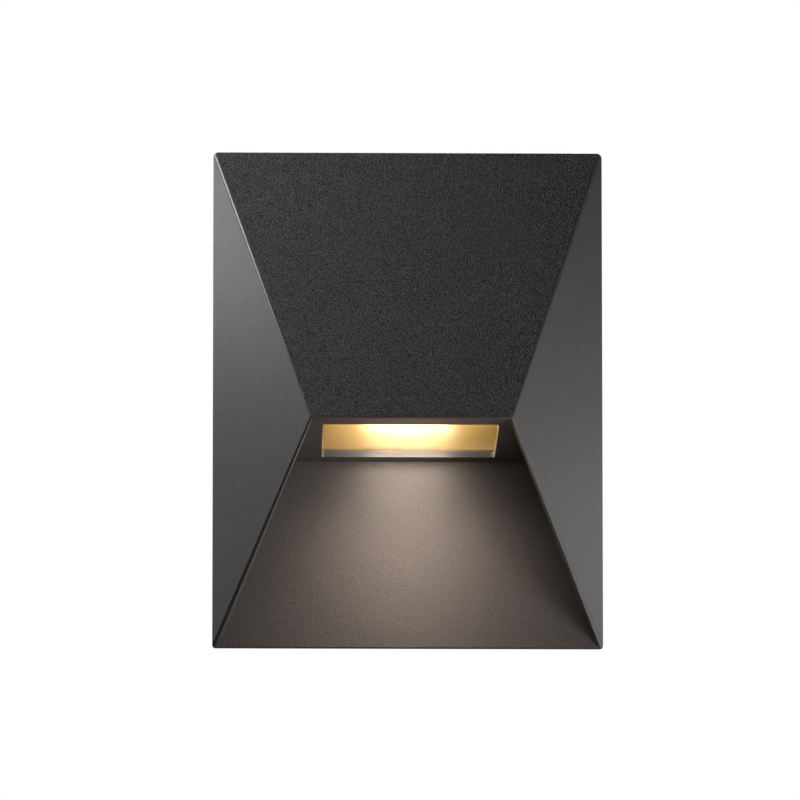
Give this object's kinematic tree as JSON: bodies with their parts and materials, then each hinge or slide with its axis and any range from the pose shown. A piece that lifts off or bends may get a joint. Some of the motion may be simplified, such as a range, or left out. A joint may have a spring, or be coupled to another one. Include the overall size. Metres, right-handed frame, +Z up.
{
  "type": "outdoor wall light",
  "caption": "Wedge-shaped outdoor downlight: a cast front with side wings slopes out to a level nose, over a glazed square light opening and an open pocket against the wall.",
  "frame": {"origin": "centre of the back, on the wall plane: halfway across the width and halfway up the height", "axes": "+X to the right seen from the room, +Y into the wall, +Z up; the front faces -Y"},
  "size_m": [0.15, 0.092, 0.194],
  "materials": {
    "coating": "matt, fine-textured black powder coat over cast aluminium",
    "pane": "clear, polished",
    "seal_light": "satin, off-white silicone",
    "seal_black": "matt black foam rubber",
    "zinc": "satin zinc plating",
    "black_steel": "black oxide",
    "ceramic_white": "smooth, unglazed",
    "block_white": "satin",
    "brass": "satin",
    "tinned": "bright tin plating",
    "gold_sheet": "satin gold anodising",
    "rivet": "satin",
    "green": "satin insulation",
    "brown": "satin insulation",
    "blue": "satin insulation",
    "lamp_glass": "frosted, lit warm white",
    "lamp_white": "satin",
    "lamp_wire": "bright",
    "lamp_board": "matt, with yellow emitters"
  },
  "bodies": {
    "wall_base": {"wall_plate": "zinc", "wall_gasket": "seal_black", "cable_grommet": "seal_black", "terminal_block": "block_white", "terminal_sleeves": "brass", "terminal_screws": "zinc", "block_screw": "zinc", "earth_stud": "brass", "earth_lug": "tinned", "earth_washer": "zinc", "earth_nut": "brass", "earth_wire": "green", "live_wire": "brown", "neutral_wire": "blue", "holder_bracket": "zinc", "bracket_rivets": "rivet", "lampholder": "ceramic_white", "holder_contacts": "brass", "holder_screws": "zinc", "reflector": "gold_sheet", "reflector_standoffs": "brass", "reflector_screws": "zinc"},
    "housing": {"front_housing": "coating", "lens_gasket": "seal_light", "lens_glass": "pane", "lens_clips": "zinc", "lens_clip_screws": "zinc", "fixing_screws": "black_steel", "fixing_washers": "seal_black", "fixing_nuts": "zinc"},
    "bulb": {"bulb_envelope": "lamp_glass", "bulb_base": "lamp_white", "bulb_pins": "lamp_wire", "led_board": "lamp_board"}
  },
  "joints": [
    {"name": "housing_slide", "type": "slide", "parent": "wall_base", "child": "housing", "axis": [0, -1, 0], "range_m": [0, 0.11]},
    {"name": "bulb_pull", "type": "slide", "parent": "wall_base", "child": "bulb", "axis": [0, 0, -1], "range_m": [0, 0.0095]}
  ]
}
